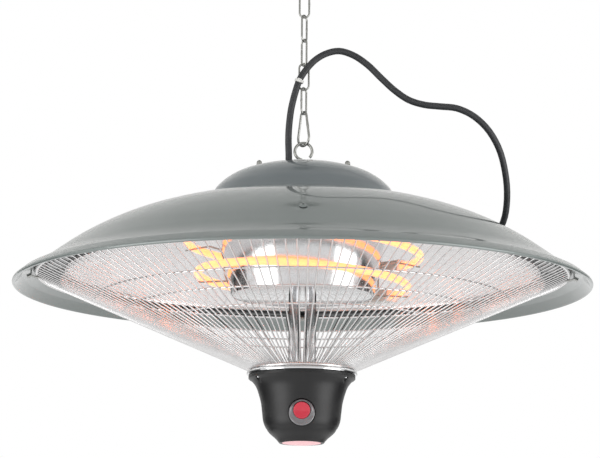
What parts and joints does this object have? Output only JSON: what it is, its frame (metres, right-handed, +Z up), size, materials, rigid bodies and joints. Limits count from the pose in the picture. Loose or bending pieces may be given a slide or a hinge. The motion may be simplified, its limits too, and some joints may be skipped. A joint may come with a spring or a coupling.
{
  "type": "hanging infrared heater",
  "caption": "Dome-shaped ceiling infrared heater with ring lamps, a cone wire guard and a lower switch housing, hung on a chain with its cord tied to it.",
  "frame": {"origin": "middle of the ceiling plate's upper face, which lies against the ceiling", "axes": "+Z up into the ceiling, +Y away from the side with the switch, +X to the right seen from that side"},
  "size_m": [0.6, 0.6, 0.5037],
  "materials": {
    "shade_paint": "grey-green silver enamel, glossy",
    "cap_paint": "grey silver enamel, glossy",
    "polished_metal": "mirror-polished sheet",
    "plated_steel": "bright zinc plating",
    "guard_wire": "bright plated wire",
    "dark_steel": "plain steel",
    "black_moulding": "satin black moulding",
    "black_rubber": "smooth rubber",
    "white_nylon": "white nylon",
    "glowing_quartz": "glowing quartz tube",
    "ceramic": "unglazed off-white ceramic",
    "switch_bezel": "satin chrome",
    "red_rocker": "translucent red, glossy",
    "pink_lens": "frosted pale pink",
    "circuit_board": "circuit board"
  },
  "bodies": {
    "ceiling": {"ceiling_plate": "plated_steel", "ceiling_screw_left": "plated_steel", "ceiling_screw_right": "plated_steel"},
    "link_5": {"chain_link_5": "plated_steel"},
    "link_4": {"chain_link_4": "plated_steel"},
    "link_3": {"chain_link_3": "plated_steel"},
    "lower_chain": {"chain_link_2": "plated_steel", "chain_link_1": "plated_steel", "pear_link": "plated_steel", "cord_tie": "white_nylon"},
    "heater": {"eye_bolt": "plated_steel", "eye_nut": "dark_steel", "crown_cap": "cap_paint", "cap_nut_left": "polished_metal", "cap_nut_right": "polished_metal", "cap_stud_left": "dark_steel", "cap_stud_right": "dark_steel", "shade": "shade_paint", "cord_grommet": "black_rubber", "supply_cord": "black_rubber", "cord_coil": "black_rubber", "coil_tie": "white_nylon", "plug_lead": "black_rubber", "plug": "black_rubber", "reflector": "polished_metal", "reflector_post_1": "dark_steel", "reflector_post_2": "dark_steel", "reflector_post_3": "dark_steel", "shade_screw_1": "shade_paint", "shade_screw_2": "shade_paint", "shade_screw_3": "shade_paint", "drum": "polished_metal", "drum_plate": "polished_metal", "lamp_lower": "glowing_quartz", "lamp_upper": "glowing_quartz", "lamp_socket_lower": "ceramic", "lamp_socket_upper": "ceramic", "lamp_support_left": "dark_steel", "lamp_support_right": "dark_steel", "guard": "guard_wire", "guard_clip_1": "plated_steel", "guard_clip_2": "plated_steel", "guard_clip_3": "plated_steel", "guard_clip_4": "plated_steel", "support_tube_left": "polished_metal", "support_tube_right": "polished_metal", "collar": "polished_metal", "control_housing": "black_moulding", "housing_screw_1": "plated_steel", "housing_screw_2": "plated_steel", "housing_screw_3": "plated_steel", "switch_body": "switch_bezel", "lens": "pink_lens", "indicator_board": "circuit_board", "terminal_block": "ceramic"},
    "rocker": {"rocker": "red_rocker"}
  },
  "joints": [
    {"name": "link_5_swing", "type": "hinge", "parent": "ceiling", "child": "link_5", "pos_m": [0, 0, -0.028], "axis": [0.5, -0.866, 0], "range_deg": [-30, 30]},
    {"name": "link_4_swing", "type": "hinge", "parent": "link_5", "child": "link_4", "pos_m": [0, 0, -0.0525], "axis": [1, 0, 0], "range_deg": [-30, 30]},
    {"name": "link_3_swing", "type": "hinge", "parent": "link_4", "child": "link_3", "pos_m": [0, 0, -0.0785], "axis": [0.5, 0.866, 0], "range_deg": [-30, 30]},
    {"name": "lower_chain_swing", "type": "hinge", "parent": "link_3", "child": "lower_chain", "pos_m": [0, 0, -0.1045], "axis": [-0.5, 0.866, 0], "range_deg": [-30, 30]},
    {"name": "heater_swing", "type": "hinge", "parent": "lower_chain", "child": "heater", "pos_m": [0, 0, -0.19035], "axis": [0.6428, -0.766, 0], "range_deg": [-30, 30], "deforming": ["supply_cord"]},
    {"name": "rocker_press", "type": "hinge", "parent": "heater", "child": "rocker", "pos_m": [0, -0.035, -0.47197], "axis": [-1, 0, 0], "range_deg": [0, 16]}
  ]
}
